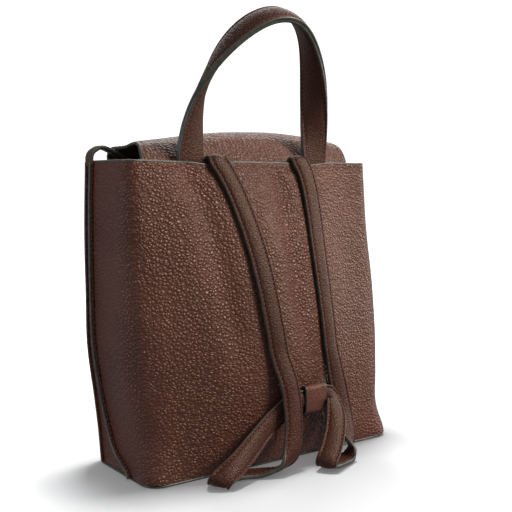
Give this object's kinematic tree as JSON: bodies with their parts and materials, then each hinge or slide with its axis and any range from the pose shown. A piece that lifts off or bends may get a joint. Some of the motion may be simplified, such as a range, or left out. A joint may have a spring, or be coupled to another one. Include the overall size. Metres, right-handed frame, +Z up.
{
  "type": "leather backpack",
  "caption": "Small leather backpack: open-topped body under an over-flap, twisted top handle, and a continuous shoulder strap through a keeper loop on the back.",
  "frame": {"origin": "centre of the base, on the floor it stands on", "axes": "+Z up, +Y towards the back panel with the shoulder straps, -Y towards the front where the flap hangs, +X to the left seen from behind"},
  "size_m": [0.2788, 0.1664, 0.4102],
  "materials": {
    "pebbled_leather": "pebbled full grain, dark burgundy brown",
    "smooth_leather": "smoother grain, dark burgundy brown, painted edges",
    "suede": "matt flesh side",
    "lining_fabric": "plain woven lining",
    "board": "fibre board stiffener",
    "nickel": "satin nickel"
  },
  "bodies": {
    "bag_body": {"back_panel": "pebbled_leather", "front_panel": "pebbled_leather", "gusset_left": "pebbled_leather", "gusset_right": "pebbled_leather", "base_panel": "pebbled_leather", "base_stiffener": "board", "body_lining": "lining_fabric", "inner_pocket": "lining_fabric", "back_facing": "suede", "front_facing": "suede", "flap_root": "pebbled_leather", "handle_tab_left": "smooth_leather", "handle_tab_right": "smooth_leather", "strap_left_tab": "smooth_leather", "strap_right_tab": "smooth_leather", "strap_left_lower": "smooth_leather", "strap_right_lower": "smooth_leather", "strap_centre": "smooth_leather", "strap_keeper": "smooth_leather", "snap_female": "nickel"},
    "flap_top": {"flap_crown": "pebbled_leather", "flap_crown_lining": "suede"},
    "flap_drop": {"flap_front": "pebbled_leather", "flap_front_lining": "suede", "snap_male": "nickel"},
    "handle": {"handle_outer": "smooth_leather", "handle_inner": "smooth_leather", "handle_core": "board"},
    "left_strap": {"strap_left_upper": "smooth_leather"},
    "right_strap": {"strap_right_upper": "smooth_leather"},
    "left_ear": {"ear_left": "pebbled_leather"},
    "right_ear": {"ear_right": "pebbled_leather"}
  },
  "joints": [
    {"name": "flap_hinge", "type": "hinge", "parent": "bag_body", "child": "flap_top", "pos_m": [0, -0.0029, 0.285], "axis": [-1, 0, 0], "range_deg": [0, 80]},
    {"name": "flap_bend", "type": "hinge", "parent": "flap_top", "child": "flap_drop", "pos_m": [0, -0.0719, 0.2792], "axis": [-1, 0, 0], "range_deg": [0, 70]},
    {"name": "handle_tilt", "type": "hinge", "parent": "bag_body", "child": "handle", "pos_m": [0, 0.01, 0.2725], "axis": [-1, 0, 0], "range_deg": [-30, 65]},
    {"name": "strap_left_swing", "type": "hinge", "parent": "bag_body", "child": "left_strap", "pos_m": [0.046, 0.0182, 0.2685], "axis": [1, 0, 0], "range_deg": [0, 25]},
    {"name": "strap_right_swing", "type": "hinge", "parent": "bag_body", "child": "right_strap", "pos_m": [-0.047, 0.0182, 0.2685], "axis": [1, 0, 0], "range_deg": [0, 25]},
    {"name": "ear_left_fold", "type": "hinge", "parent": "bag_body", "child": "left_ear", "pos_m": [0.1365, -0.0515, 0.2715], "axis": [0, -1, 0], "range_deg": [0, 40]},
    {"name": "ear_right_fold", "type": "hinge", "parent": "bag_body", "child": "right_ear", "pos_m": [-0.1365, -0.0515, 0.2715], "axis": [0, 1, 0], "range_deg": [0, 40]}
  ]
}
